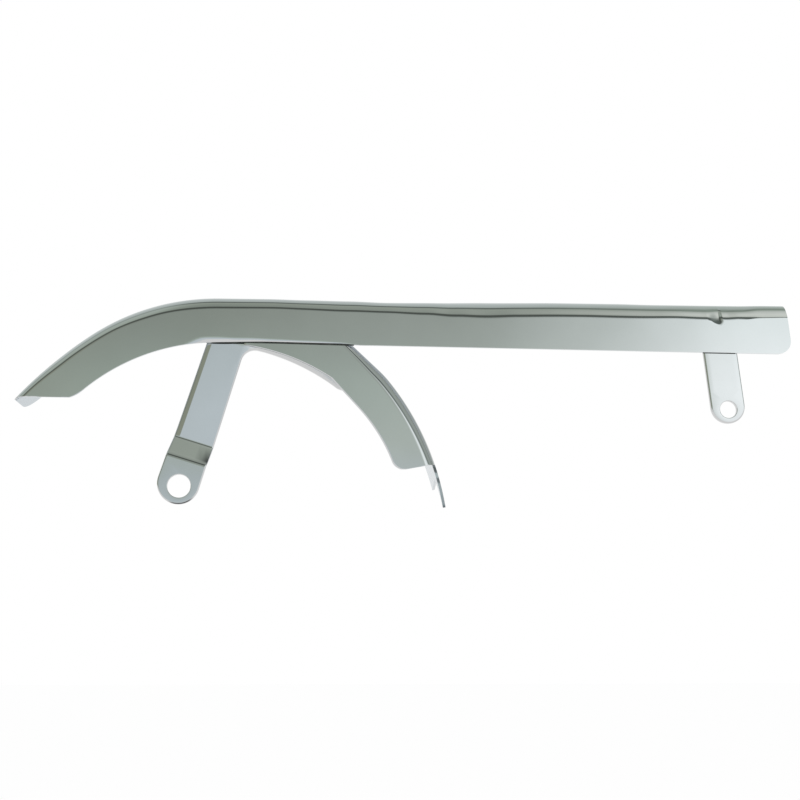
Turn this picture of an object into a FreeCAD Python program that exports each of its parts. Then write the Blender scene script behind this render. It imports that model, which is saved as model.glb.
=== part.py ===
"""Upper drive-belt guard: four pieces of chromed steel sheet and plate, welded into one part.

Millimetres and degrees. The origin is the centre of the rear bolt hole on the front plane. +X runs along
the guard to its front end, +Z is up, and +Y goes in from the front plane towards the belt."""

import FreeCAD
import Part
import math
import os

# Guard channel: a strip folded along its top line
sheet = 1.6
guard_depth = 42.0
guard_bend = 10.0
top_z = 113.0
curve_x = 21.0
rear_radius = 132.1
rear_angle = 36.0
tail_radius = 246.5
tail_angle = 48.5
front_x = 362.2
front_angle = 7.0
front_rise = 0.5
face_height = 27.9
front_drop = 2.8
lower_radius = 118.0
rear_end_z = 52.0
rear_corner = 6.0
front_corner = 7.0
web_corner = 10.0

# Pulley shield: a curved strip folded along its outer edge, lapped behind the guard's face
shield_depth = 44.0
shield_bend = 6.4
shield_reach = 157.8
shield_z = -36.5
shield_radius = 160.5
shield_break_angle = 51.3
shield_blend = 60.2
shield_slope_angle = 42.3
shield_end_angle = 80.8
yoke_x = 20.1
yoke_radius = 122.9
yoke_angle = 33.2
nip_line = 24.3
nip_start_angle = 47.45
nip_radius = 102.8
nip_end_angle = 95.0
lap_height = 14.0
lap_left = 12.0
lap_corner = 4.0
web_clearance = 1.2
flange_end_z = 10.7
flange_end_angle = 10.4
flange_corner = 5.0
ear_width = 16.0
ear_length = 18.5
end_slant = 4.0

# Support bracket: a thick strap with a joggled foot and a short curved arm
plate_thick = 3.0
leg_angle = 17.0
foot_left = 13.2
foot_right = 11.5
neck_left = 11.6
neck_right = 11.0
flat_drop = 4.8
lean_angle = 4.0
joggle_top = 27.4
joggle_bottom = 16.5
joggle_radius = 3.0
lean_radius = 12.0
foot_end = 10.7
rear_hole_radius = 6.75
arm_x = 12.9
arm_rise = 0.3
arm_radius = 130.6
arm_width = 13.0
arm_angle = 45.0
arm_tip_flat = 1.0
neck_fillet = 9.0
strap_edge = 2.0

# Front tab: a short plate with a rounded end
tab_setback = 36.4
tab_hole_z = 48.4
tab_hole_radius = 5.15
tab_angle = 6.1
tab_width = 20.6
tab_end = 8.4
tab_top = 53.5
tab_corner = 3.0
tab_edge = 0.8

# Places that follow from the sizes above
lower_z = top_z - face_height
shield_x = shield_reach - shield_radius
arm_z = lower_z + arm_rise - arm_radius
arm_corner = (arm_width - arm_tip_flat) / 2
leg_flat = (lower_z - flat_drop) / math.cos(math.radians(leg_angle))
tab_hole_x = front_x - tab_setback
flange_y = sheet
bracket_y = 2 * sheet
tab_y = sheet

# How far the cutting shapes run past what they cut, and how far they reach
cut_over = 3 * sheet
cut_reach = 2 * face_height + cut_over


def point(x, z, y=0.0):
    """Point of the part from its place along, its height and its depth."""
    return FreeCAD.Vector(x, y, z)


def tilt(angle):
    """Unit direction in the front plane, in degrees from +Z towards +X."""
    turn = math.radians(angle)
    return point(math.sin(turn), math.cos(turn))


def line(start, end):
    return Part.makeLine(start, end)


def arc(centre, radius, start, end):
    """Arc about a centre in the front plane, between two directions in degrees from +Z towards +X."""
    first = centre + tilt(start) * radius
    middle = centre + tilt((start + end) / 2) * radius
    last = centre + tilt(end) * radius
    return Part.Arc(first, middle, last).toShape()


def ring(corners):
    """Straight edges round a list of corners."""
    return [line(corners[i - 1], corners[i]) for i in range(len(corners))]


def rounded(corners, radii):
    """Closed outline through flat corners in order, each rounded by its own radius."""
    edges = []
    starts = []
    ends = []
    for i, corner in enumerate(corners):
        back = (corners[i - 1] - corner).normalize()
        onward = (corners[(i + 1) % len(corners)] - corner).normalize()
        half = back.getAngle(onward) / 2
        length = radii[i] / math.tan(half)
        starts.append(corner + back * length)
        ends.append(corner + onward * length)
        if radii[i]:
            inward = (back + onward).normalize()
            middle = corner + inward * radii[i] * (1 / math.sin(half) - 1)
            edges.append(Part.Arc(starts[i], middle, ends[i]).toShape())
    for i in range(len(corners)):
        edges.append(line(ends[i - 1], starts[i]))
    return Part.__sortEdges__(edges)


def plate(edges, front, back):
    """Solid between two depths, with the closed ring of edges as its outline."""
    face = Part.Face(Part.Wire(Part.__sortEdges__(edges)))
    face.translate(FreeCAD.Vector(0, front, 0))
    return face.extrude(FreeCAD.Vector(0, back - front, 0))


def disc(x, z, radius, front, back):
    """Round plug along the depth."""
    return Part.makeCylinder(radius, back - front, point(x, z, front), FreeCAD.Vector(0, 1, 0))


def edges_at(solid, spots):
    """Edges that run along the depth within half a millimetre of one of the spots."""
    found = []
    for edge in solid.Edges:
        ends = edge.Vertexes
        along = len(ends) == 2 and abs(ends[0].X - ends[1].X) < 0.01 and abs(ends[0].Z - ends[1].Z) < 0.01
        if along and any(math.hypot(ends[0].X - s.x, ends[0].Z - s.z) < 0.5 for s in spots):
            found.append(edge)
    return found


def corners_at(solid, depth, spot, reach):
    """Edges across a sheet's thickness, at one depth and within reach of a spot."""
    found = []
    for edge in solid.Edges:
        level = all(abs(v.Y - depth) < 0.01 for v in edge.Vertexes)
        if level and abs(edge.Length - sheet) < 0.05 and edge.CenterOfMass.distanceToPoint(spot) < reach:
            found.append(edge)
    return found


def front_edges(solid):
    """Edges where a wall that runs along the depth meets a surface that looks to the front."""
    found = []
    for edge in solid.Edges:
        middle = edge.valueAt((edge.FirstParameter + edge.LastParameter) / 2)
        looks = []
        for face in solid.ancestorsOfType(edge, Part.Face):
            looks.append(face.normalAt(*face.Surface.parameter(middle)).y)
        if len(looks) == 2 and min(looks) < -0.5 and abs(max(looks)) < 0.05:
            found.append(edge)
    return found


def round_front(solid, chain, depth, radius):
    """The solid with the front edges that lie on the chain's curves rounded."""
    wanted = []
    for edge in solid.Edges:
        middle = edge.valueAt((edge.FirstParameter + edge.LastParameter) / 2)
        level = abs(middle.y - depth) < 0.01
        flat = point(middle.x, middle.z)
        if level and any(piece.distToShape(Part.Vertex(flat))[0] < 0.01 for piece in chain):
            wanted.append(edge)
    return solid.makeFillet(radius, wanted)


def guard_block(inset, overrun, front, bend):
    """Block under the guard's top line moved in by an inset, with its front top edge rounded."""
    main = point(curve_x, top_z - rear_radius)
    tail = main + tilt(-rear_angle) * (rear_radius - tail_radius)
    last = tail_angle + math.degrees(overrun / tail_radius)
    rise = math.degrees(math.atan2(front_rise, front_x - curve_x))
    start = main + tilt(-rise) * (rear_radius - inset)
    nose = start + tilt(90 - rise) * (front_x + overrun - start.x)
    chain = [
        line(nose, start),
        arc(main, rear_radius - inset, -rise, -rear_angle),
        arc(tail, tail_radius - inset, -rear_angle, -last),
    ]
    tip = tail + tilt(-last) * (tail_radius - inset)
    foot = tip - tilt(-last) * cut_reach
    toe = point(nose.x + (nose.z - foot.z) * math.tan(math.radians(front_angle)), foot.z)
    rest = [line(tip, foot), line(foot, toe), line(toe, nose)]
    back = guard_depth + overrun
    return round_front(plate(chain + rest, front, back), chain, front, bend)


def make_guard_channel():
    """Face, rolled bend and top web folded from one sheet."""
    inner = guard_block(sheet, cut_over, sheet, guard_bend - sheet)
    folded = guard_block(0, 0, 0, guard_bend).cut(inner)
    pivot = point(curve_x, lower_z - lower_radius)
    rear_turn = math.degrees(math.acos((rear_end_z - pivot.z) / lower_radius))
    rear_low = pivot + tilt(-rear_turn) * lower_radius
    ahead = front_x + cut_reach
    fall = front_drop * (ahead - curve_x) / (front_x - curve_x)
    behind = rear_low.x - 2 * cut_reach
    trim = [
        line(point(behind, rear_end_z), rear_low),
        arc(pivot, lower_radius, -rear_turn, 0),
        line(point(curve_x, lower_z), point(ahead, lower_z - fall)),
        line(point(ahead, lower_z - fall), point(ahead, pivot.z)),
        line(point(ahead, pivot.z), point(behind, pivot.z)),
        line(point(behind, pivot.z), point(behind, rear_end_z)),
    ]
    guard = folded.cut(plate(trim, -cut_over, guard_bend))
    guard = guard.makeFillet(rear_corner, edges_at(guard, [rear_low]))
    low = max((v for v in guard.Vertexes if v.Y < 0.01), key=lambda v: v.X - v.Z)
    guard = guard.makeFillet(front_corner, edges_at(guard, [point(low.X, low.Z)]))
    main = point(curve_x, top_z - rear_radius)
    tail = main + tilt(-rear_angle) * (rear_radius - tail_radius)
    tip = tail + tilt(-tail_angle) * tail_radius
    rear_edge = corners_at(guard, guard_depth, point(tip.x, tip.z, guard_depth), 3)
    guard = guard.makeFillet(web_corner, rear_edge)
    nose_edge = corners_at(guard, guard_depth, point(front_x, top_z + front_rise, guard_depth), 3)
    return guard.makeFillet(web_corner, nose_edge)


def shield_line(inset, upper, last):
    """Outer line of the shield moved in by an inset: straight from an upper height, blend, main curve."""
    main = point(shield_x, shield_z)
    knee = main + tilt(shield_break_angle) * (shield_radius - shield_blend)
    start = knee + tilt(shield_slope_angle) * (shield_blend - inset)
    climb = (upper - start.z) / math.sin(math.radians(shield_slope_angle))
    top = start + tilt(shield_slope_angle - 90) * climb
    return [
        line(top, start),
        arc(knee, shield_blend - inset, shield_slope_angle, shield_break_angle),
        arc(main, shield_radius - inset, shield_break_angle, last),
    ], top, main + tilt(last) * (shield_radius - inset)


def shield_block(inset, overrun, front, bend):
    """Block inside the shield's outer line, with its front outer edge rounded."""
    last = shield_end_angle + math.degrees(overrun / shield_radius)
    chain, top, tip = shield_line(inset, lower_z + lap_height + overrun, last)
    heel = tip - tilt(last) * cut_reach
    rest = [
        line(tip, heel),
        line(heel, point(lap_left - overrun, heel.z)),
        line(point(lap_left - overrun, heel.z), point(lap_left - overrun, top.z)),
        line(point(lap_left - overrun, top.z), top),
    ]
    back = flange_y + shield_depth + overrun
    return round_front(plate(chain + rest, front, back), chain, front, bend)


def nip_outline():
    """Space left for the pulley: level line, upper curve, slight corner, lower curve. Also its furthest x."""
    upper = point(yoke_x, lower_z - yoke_radius)
    corner = upper + tilt(yoke_angle) * yoke_radius
    touch = corner + tilt(nip_start_angle + 90) * nip_line
    lower = touch - tilt(nip_start_angle) * nip_radius
    last = lower + tilt(nip_end_angle) * nip_radius
    behind = lap_left - cut_over
    floor_z = lower.z - nip_radius
    return [
        line(point(behind, lower_z), point(yoke_x, lower_z)),
        arc(upper, yoke_radius, 0, yoke_angle),
        line(corner, touch),
        arc(lower, nip_radius, nip_start_angle, nip_end_angle),
        line(last, point(behind, floor_z)),
        line(point(behind, floor_z), point(behind, lower_z)),
    ], lower.x + nip_radius


def make_pulley_shield():
    """Flange, bend and web folded from one sheet, with a lap for the welds and an ear at the lower end."""
    back = flange_y + shield_depth
    inner = shield_block(sheet, cut_over, flange_y + sheet, shield_bend - sheet)
    shield = shield_block(0, 0, flange_y, shield_bend).cut(inner)
    nip, nip_reach = nip_outline()
    shield = shield.cut(plate(nip, 0, flange_y + sheet))
    over = ring([
        point(lap_left, lower_z - web_clearance),
        point(front_x, lower_z - web_clearance),
        point(front_x, top_z + cut_reach),
        point(lap_left, top_z + cut_reach),
    ])
    shield = shield.cut(plate(over, flange_y + sheet, back + cut_over))
    run = tilt(90 - flange_end_angle)
    hinge = point(nip_reach, flange_end_z)
    low = [hinge - run * cut_reach, hinge + run * cut_reach]
    drop = point(0, cut_reach)
    under = ring([low[0], low[1], low[1] - drop, low[0] - drop])
    shield = shield.cut(plate(under, 0, flange_y + shield_bend))
    tip = point(shield_x, shield_z) + tilt(shield_end_angle) * shield_radius
    along = tilt(shield_end_angle + 90)
    outward = tilt(shield_end_angle)
    deep = FreeCAD.Vector(0, 1, 0)
    start = tip - outward * 2 * cut_over - along * ear_length + deep * (flange_y + ear_width)
    point_end = start + along * ear_length - deep * (ear_width - shield_bend)
    beyond = start + along * (ear_length + cut_over)
    slant = end_slant * shield_depth / (shield_depth - ear_width)
    cut = ring([
        start,
        point_end,
        beyond - deep * ear_width,
        beyond + deep * shield_depth,
        start + deep * shield_depth + along * slant,
    ])
    notch = Part.Face(Part.Wire(Part.__sortEdges__(cut))).extrude(outward * 4 * cut_over)
    shield = shield.cut(notch)
    toe = min((v for v in shield.Vertexes if v.Y < flange_y + 0.01), key=lambda v: v.Z)
    shield = shield.makeFillet(flange_corner, edges_at(shield, [point(toe.X, toe.Z)]))
    upper = [point(lap_left, lower_z), point(lap_left, lower_z + lap_height)]
    return shield.makeFillet(lap_corner, edges_at(shield, upper))


def make_support_bracket():
    """Strap that leans in, joggles out to its bolted foot, and carries an arm behind the shield's flange."""
    axis = tilt(leg_angle)
    across = tilt(leg_angle + 90)
    deep = FreeCAD.Vector(0, 1, 0)
    half = (foot_left + foot_right) / 2
    middle = (foot_right - foot_left) / 2
    swell = half - foot_end
    left_draw = (neck_left - foot_left) / leg_flat
    right_draw = (neck_right - foot_right) / leg_flat

    def left(height):
        return axis * height - across * (foot_left + left_draw * height)

    def right(height):
        return axis * height + across * (foot_right + right_draw * height)

    def reach_circle(side, radius):
        """Height at which a side of the strap meets a circle about the arm's centre from inside."""
        start = side(0) - centre
        step = side(1) - side(0)
        half_turn = start.dot(step) / step.dot(step)
        return -half_turn + math.sqrt(half_turn ** 2 - (start.dot(start) - radius ** 2) / step.dot(step))

    centre = point(arm_x, arm_z)
    outer = arm_radius + arm_width
    head = left(reach_circle(left, outer))
    shoulder = right(reach_circle(right, outer))
    neck = right(reach_circle(right, arm_radius))
    head_angle = math.degrees(math.atan2(head.x - centre.x, head.z - centre.z))
    shoulder_angle = math.degrees(math.atan2(shoulder.x - centre.x, shoulder.z - centre.z))
    leg_top = leg_flat + 2 * arm_width
    sunk = bracket_y + (leg_flat - joggle_top) * math.tan(math.radians(lean_angle))
    front = [(leg_flat, bracket_y), (joggle_top, sunk), (joggle_bottom, 0.0)]
    slopes = [0.0, -math.radians(lean_angle), math.atan2(sunk, joggle_top - joggle_bottom), 0.0]
    back = []
    for (height, depth), above, below in zip(front, slopes, slopes[1:]):
        mean = (above + below) / 2
        reach = plate_thick / math.cos((above - below) / 2)
        back.append((height - reach * math.sin(mean), depth + reach * math.cos(mean)))
    profile = [(leg_top, bracket_y)] + front + [(-2 * foot_end, 0.0), (-2 * foot_end, plate_thick)]
    profile += back[::-1] + [(leg_top, bracket_y + plate_thick)]
    outside = joggle_radius + plate_thick
    radii = [0, lean_radius + plate_thick, joggle_radius, outside, 0]
    radii += [0, joggle_radius, outside, lean_radius, 0]
    side = Part.Face(Part.Wire(rounded([axis * h + deep * d for h, d in profile], radii)))
    side.translate(across * -leg_top)
    fold = side.extrude(across * 2 * leg_top)
    toe = across * middle - axis * foot_end
    strap = [
        line(head, left(swell)),
        Part.Arc(left(swell), toe, right(swell)).toShape(),
        line(right(swell), shoulder),
        arc(centre, outer, shoulder_angle, head_angle),
    ]
    leg = fold.common(plate(strap, -cut_over, sunk + plate_thick + cut_over))
    begin = (head_angle + shoulder_angle) / 2
    low_end = centre + tilt(arm_angle) * arm_radius
    high_end = centre + tilt(arm_angle) * outer
    arm = [
        arc(centre, arm_radius, begin, arm_angle),
        line(low_end, high_end),
        arc(centre, outer, arm_angle, begin),
        line(centre + tilt(begin) * outer, centre + tilt(begin) * arm_radius),
    ]
    bracket = leg.fuse(plate(arm, bracket_y, bracket_y + plate_thick)).removeSplitter()
    bracket = bracket.makeFillet(neck_fillet, edges_at(bracket, [neck]))
    bracket = bracket.makeFillet(arm_corner, edges_at(bracket, [low_end, high_end, head]))
    bracket = bracket.makeFillet(strap_edge, front_edges(bracket))
    return bracket.cut(disc(0, 0, rear_hole_radius, -cut_over, plate_thick + cut_over))


def make_front_tab():
    """Plate lug behind the front end of the face, with a bolt hole near its round end."""
    axis = tilt(-tab_angle)
    across = tilt(90 - tab_angle)
    hole = point(tab_hole_x, tab_hole_z)
    half = tab_width / 2
    swell = half - tab_end
    left = hole - across * half
    right = hole + across * half
    outline = [
        line(left + axis * tab_top, left + axis * swell),
        Part.Arc(left + axis * swell, hole - axis * tab_end, right + axis * swell).toShape(),
        line(right + axis * swell, right + axis * tab_top),
        line(right + axis * tab_top, left + axis * tab_top),
    ]
    tab = plate(outline, tab_y, tab_y + plate_thick)
    tab = tab.makeFillet(tab_corner, edges_at(tab, [left + axis * tab_top, right + axis * tab_top]))
    tab = tab.makeFillet(tab_edge, front_edges(tab))
    return tab.cut(disc(tab_hole_x, tab_hole_z, tab_hole_radius, 0, tab_y + plate_thick + cut_over))


os.makedirs("parts", exist_ok=True)
for name, make in (
    ("guard_channel", make_guard_channel),
    ("pulley_shield", make_pulley_shield),
    ("support_bracket", make_support_bracket),
    ("front_tab", make_front_tab),
):
    shape = make()
    print(name, shape.isValid(), len(shape.Solids), round(shape.Volume), shape.BoundBox)
    shape.exportStep("parts/" + name + ".step")
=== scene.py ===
"""Looks of the upper belt guard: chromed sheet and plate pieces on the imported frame, in a plain studio."""

import math

import bmesh
import bpy
from bpy.props import FloatProperty, FloatVectorProperty, PointerProperty
from mathutils import Matrix, Vector


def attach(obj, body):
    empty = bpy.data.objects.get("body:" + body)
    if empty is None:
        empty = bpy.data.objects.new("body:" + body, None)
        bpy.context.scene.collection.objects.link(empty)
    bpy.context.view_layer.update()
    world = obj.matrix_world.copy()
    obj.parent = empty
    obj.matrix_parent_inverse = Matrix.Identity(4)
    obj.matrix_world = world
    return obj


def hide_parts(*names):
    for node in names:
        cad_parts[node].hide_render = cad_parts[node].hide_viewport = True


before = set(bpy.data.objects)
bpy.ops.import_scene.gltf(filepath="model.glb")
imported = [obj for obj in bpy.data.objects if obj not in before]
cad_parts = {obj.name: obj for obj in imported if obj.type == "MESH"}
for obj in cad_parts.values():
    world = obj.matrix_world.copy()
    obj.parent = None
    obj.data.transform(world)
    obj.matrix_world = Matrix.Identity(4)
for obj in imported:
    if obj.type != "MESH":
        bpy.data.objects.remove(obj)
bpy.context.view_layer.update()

bl_info = {
    "name": "Belt Guard Looks",
    "version": (1, 0, 0),
    "blender": (4, 5, 0),
    "location": "View3D > Sidebar > Belt Guard",
    "description": "Builds the chromed sheet and plate pieces of an upper belt guard and a plain studio",
    "category": "Object",
}

MM = 0.001

# Sheet, plate and their broken edges, in millimetres and degrees like all sizes of the pieces
SHEET = 1.6
PLATE = 3.0
EDGE_ROUND = 0.35
EDGE_SEGMENTS = 3
SHARP_ANGLE = 50.0
NORMAL_WEIGHT = 80

# Guard channel
GUARD_DEPTH = 42.0
GUARD_BEND = 10.0
TOP_Z = 113.0
CURVE_X = 21.0
REAR_RADIUS = 132.1
REAR_ANGLE = 36.0
TAIL_RADIUS = 246.5
TAIL_ANGLE = 48.8
FRONT_X = 362.8
FRONT_ANGLE = 5.8
FRONT_FADE = 45.0
FRONT_RISE = 0.5
LOWER_Z = 85.1
FRONT_DROP = 2.8
LOWER_RADIUS = 118.0
REAR_END_Z = 51.5
REAR_FALL = 1.7
REAR_CORNER = 20.0
CORNER_REACH = 9.0
FRONT_CORNER = 9.0
WEB_CORNER = 10.0
TAIL_WEB_CORNER = 18.0

# Columns of the guard round its front corner, along its runs and round its tail, past a gap behind the face
FRONT_COLUMNS = 9
RUN_COLUMNS = (10, 36, 100, 42, 11)
TAIL_COLUMNS = 14
TAIL_GAP = 0.3

# Rows of the guard: heights over the face's lower edge out of a span, turns of the bend, shares of the web
FACE_SPAN = 20.4
FACE_ROWS = (
    0.0, 0.5, 1.0, 1.6, 2.2, 2.9, 3.8, 5.2, 7.5, 9.5, 11.5, 12.7, 13.7, 14.6, 15.4, 16.1, 16.8, 17.5, 18.2,
    18.9, 19.6, 20.2,
)
GUARD_TURNS = 18
TONGUE_ROWS = 4
WEB_SHARES = (0.0, 0.017, 0.07, 0.17, 0.29, 0.43, 0.57, 0.71, 0.83, 0.91, 0.97, 1.0)

# The guard is rolled by hand: radius of its bend at places along it, and how far its top line waves out
BEND_RADII = (
    (-92.0, 4.2), (-71.0, 5.7), (-47.0, 6.4), (-20.0, 7.4), (14.0, 8.2), (60.0, 7.8), (96.0, 8.6),
    (120.0, 8.4), (144.0, 9.8), (162.0, 11.4), (179.0, 12.3), (198.0, 11.6), (240.0, 11.3), (263.0, 11.6),
    (295.0, 10.8), (313.0, 11.4), (326.0, 11.4), (335.0, 10.7), (346.0, 9.3), (362.0, 8.9),
)
TOP_WAVE = (
    (-60.0, 0.3), (-25.0, 0.5), (50.0, 0.5), (72.0, 0.1), (98.0, -0.2), (121.0, -0.8), (150.0, -0.5),
    (180.0, 0.0), (225.0, 0.5), (260.0, 0.45), (285.0, 0.1), (335.0, 0.1), (352.0, 0.4),
)
BEND_LIFT = 0.18

# Lower edge of the face: rise over the lap, and width of its dressed margin
EDGE_RISE = ((14.0, 0.0), (50.0, 0.95), (92.0, 0.75), (106.0, 0.0))
MARGIN_WIDTHS = (
    (-3.0, 0.0), (11.0, 2.7), (18.0, 2.5), (37.0, 1.75), (55.0, 1.1), (75.0, 0.75), (105.0, 0.0),
)
MARGIN_LEAST = 0.05

# Pinch mark over the front tab: place, closer columns each side of it, flanks, halo, depth and fade
PINCH_X = 321.8
PINCH_AHEAD = 6.0
PINCH_BEHIND = 12.0
PINCH_LEFT = 9.5
PINCH_RIGHT = (3.6, 1.5)
PINCH_NARROWS = (-1.0, 2.5)
PINCH_HALO = 0.1
PINCH_HALO_WIDTH = 13.0
PINCH_FALL = 2.9
PINCH_TOP = 2.2
PINCH_FOOT = 0.6
PINCH_SLOPE = 0.11
PINCH_LEAST = 0.005
PINCH_FULL = 0.08
PINCH_FADE = 0.95

# Crease beside the pinch mark
CREASE_SLOPE = 0.16
CREASE_RUN = (335.0, 348.0)
CREASE_FADE = 0.9

# Pulley shield
FLANGE_Y = SHEET
SHIELD_DEPTH = 44.0
SHIELD_BEND = 6.4
SHIELD_BEND_TOP = 4.2
SHIELD_CENTRE = (-2.7, -36.5)
SHIELD_RADIUS = 160.5
SHIELD_BREAK_ANGLE = 51.3
SHIELD_BLEND = 60.2
SHIELD_SLOPE_ANGLE = 42.3
SHIELD_END_ANGLE = 80.8
YOKE_X = 20.1
YOKE_RADIUS = 122.9
YOKE_ANGLE = 33.2
NIP_LINE = 24.3
NIP_START_ANGLE = 47.45
NIP_RADIUS = 102.8
NIP_ROUND = 0.9
LAP_HEIGHT = 14.0
LAP_LEFT = 36.0
LAP_STEP = 2.0
WEB_RISE = 3.2
WEB_CLEARANCE = 0.4
BREAK_X = 122.0
FLANGE_END_Z = 10.7
FLANGE_END_ANGLE = 10.4
FLANGE_CORNER = 6.0
EAR_WIDTH = 16.0
EAR_LENGTH = 18.5
END_SLANT = 4.0

# Columns of the shield from its lap to the flange's end and on to the ear, and its rows
SHIELD_COLUMNS = (7, 3, 26, 34, 12)
EAR_COLUMNS = 28
FLANGE_SHARES = (0.0, 0.012, 0.024, 0.036, 0.05, 0.08, 0.16, 0.28, 0.42, 0.56, 0.7, 0.82, 0.91, 0.97)
SHIELD_TURNS = 12
EAR_ROWS = 7
WEB_ROWS = 9

# Darker tone on the ear's cut edge, by share of the way down it, and how far back it fades
EAR_DARKENING = (
    (0.0, 0.5), (0.05, 0.85), (0.16, 0.85), (0.2, 0.1), (0.28, 0.0), (0.32, 0.7), (0.4, 0.7), (0.45, 0.2),
    (0.6, 0.2), (0.8, 0.32), (0.92, 0.36), (0.98, 0.7),
)
EAR_DARKENING_FADE = (0.4, 2.5)

# Round ends of the plates
LUG_STEPS = 30
LUG_SIDE_STEPS = 5
NEAR = 0.1

# Support bracket
BRACKET_Y = 2 * SHEET
LEG_ANGLE = 17.0
FOOT_LEFT = 13.2
FOOT_RIGHT = 11.5
NECK_LEFT = 11.6
NECK_RIGHT = 11.0
NECK_BASE = 79.0
LEG_FLAT = 83.97
LEG_FOLD = 90.5
LEAN_ANGLE = 3.3
LEAN_RADIUS = 6 * PLATE
JOGGLE_TOP = 27.4
JOGGLE_BOTTOM = 16.5
JOGGLE_RADIUS = 3.0
FOOT_END = 10.7
REAR_HOLE_RADIUS = 6.75
ARM_CENTRE = (12.9, -45.2)
ARM_RADIUS = 130.6
ARM_WIDTH = 13.0
ARM_OUTER = ARM_RADIUS + ARM_WIDTH
ARM_ANGLE = 40.2
ARM_CORNER = 3.8
ARM_TAPER = 8.8
HEAD_CORNER = 6.0
NECK_FILLET = 9.0
STRAP_EDGE = 0.8
EDGE_TURN_ANGLE = 18.0
EDGE_TURN = ((28.0, 0.0), (36.0, 2.8), (60.0, 2.8), (88.0, 1.8))
ARM_LEAN_ANGLE = 8.0

# Where the strap's lean passes over to the arm's: from a height, and by reach to the right
ARM_FLAT_START = 60.0
ARM_FLAT_RUN = (9.0, 22.0)

# Columns of the strap as shares of its width, rows up its leg, and rows at a fold as shares of its reach
STRAP_SHARES = (0.0, 0.06, 0.12, 0.14, 0.34, 0.5, 0.66, 0.83, 1.0)
FOOT_TOP = 11.5
FOOT_ROW = 13.2
LEG_ROWS = (34.0, 50.0, 66.0)
FOLD_SHARES = (-1.15, -1.0, -0.66, -0.33, 0.0, 0.33, 0.66, 1.0, 1.15)

# Arcs of the arm: steps, and angles kept free at the head, the tip, the taper and the neck
ARM_STEPS = 20
UNDER_STEPS = 14
HEAD_GAP = 3.4
TIP_GAP = 3.4
TAPER_GAP = 4.4
NECK_GAP = 5.0

# Cuts that let the head and the arm bend: across the leg, along it, and across the arm
HEAD_CUTS = (84.0, 86.5, 88.5, 89.6, 90.5, 91.4, 93.0)
SIDE_CUTS = (-8.9, -8.4, 9.0, 13.0, 17.0, 22.0)
ARM_CUTS = (18.0, 21.5, 25.0, 28.5, 32.0, 35.0)
HEAD_CUT_START = NECK_BASE + 0.5
ARM_CUT_START = 21.9

# Segments of rounded corners and front edges
CORNER_SEGMENTS = 6
FILLET_SEGMENTS = 9
TAB_CORNER_SEGMENTS = 5
STRAP_EDGE_SEGMENTS = 6
TAB_EDGE_SEGMENTS = 4

# Darkening on the bracket: round the foot's rim by angle from straight down, a painted dark reflection on
# its lower side, and a darker tone right of the joggle by height
FOOT_PAINTED_REFLECTION = ((-32.0, 0.0), (-10.0, 0.96), (28.0, 0.96), (50.0, 0.0))
FOOT_REFLECTION_RIM = (0.76, 0.5)
JOGGLE_DARKENING = ((16.0, 0.0), (18.5, 0.92), (23.5, 0.85), (27.0, 0.0))
JOGGLE_DARKENING_FADE = (1.0, 6.5)

# Front tab
TAB_Y = SHEET
TAB_HOLE = (325.8, 48.4)
TAB_HOLE_RADIUS = 5.15
TAB_ANGLE = 6.1
TAB_WIDTH = 20.6
TAB_END = 8.4
TAB_TOP = 53.5
TAB_CORNER = 3.0
TAB_EDGE = 0.9
TAB_SHARES = (0.0, 0.17, 0.34, 0.5, 0.66, 0.83, 1.0)
TAB_LUG_TOP = 11.0
TAB_ROWS = (25.0, 40.0, TAB_TOP)

# Painted shade of the gap under the face's lower edge, a dark strip over the shield and over the tab:
# heights along it, and depth
LAP_GAP_SHADE = ((17.0, 0.25), (24.0, 0.45), (36.0, 0.5), (45.0, 0.8), (94.0, 0.9), (101.0, 0.4))
TAB_GAP_SHADE = ((311.2, 0.3), (331.0, 0.3))
SHADE_STRIP_FRONT = 1.0
SHADE_STRIP_BACK = 1.58
SHADE_STRIP_LIP = 0.1
SHADE_STRIP_COLUMNS = 36
SHADE_STRIP_STEPS = 3

# Weld beads on the back: on the tab by ends in x and z, on the arm by angles, over the lap by ends in x
TAB_BEADS = (((310.7, 98.0), (311.6, 90.0)), ((331.6, 98.0), (332.5, 90.0)))
ARM_BEADS = ((12.0, 17.0), (21.0, 26.0), (30.0, 35.0))
LAP_BEADS = ((20.0, 32.0), (46.0, 58.0), (70.0, 80.0))
BEAD_RADIUS = 1.1
BEAD_AROUND = 14
BEAD_ALONG = 40
BEAD_BLUNTNESS = 8
RIPPLE_PITCH = 1.2
RIPPLE_HEIGHT = 0.09

# Chrome: scale and detail of its clouds, polishing marks and waves, and the turn and stretch of the marks
CLOUDS = (28.0, 3.0)
CLOUD_STOPS = ((0.3, 0.965), (0.7, 1.02))
MARKS = (9.0, 4.0)
MARK_STRETCH = (12.0, 260.0, 260.0)
MARK_TURNS = {"chrome_sheet": 0.0, "chrome_plate": LEG_ANGLE}
HAZE_RUN = (0.3, 0.75)
WAVES = (22.0, 1.0)

# Painted shade of the lap's gap, on dull bare steel: scale and detail of its dark patches, their tones, and
# its roughness
GAP_SHADE_PATCHES = (240.0, 3.0)
GAP_SHADE_TONES = ((0.35, (0.022, 0.028, 0.024)), (0.7, (0.07, 0.08, 0.07)))
GAP_PATCH_ROUGHNESS = (0.55, 0.8)
BARE_METALLIC = 0.3

# Camera and floor, in millimetres for the frame and in metres for the rest
FILM_WIDTH = 36.0
CLIP_START = 0.01
FLOOR_X = 0.13
FLOOR_SIZE = 6.0
FLOOR_SEGMENTS = 8
FLOOR_ROUGHNESS = 0.9
FLOOR_GLOW = 0.85

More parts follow.
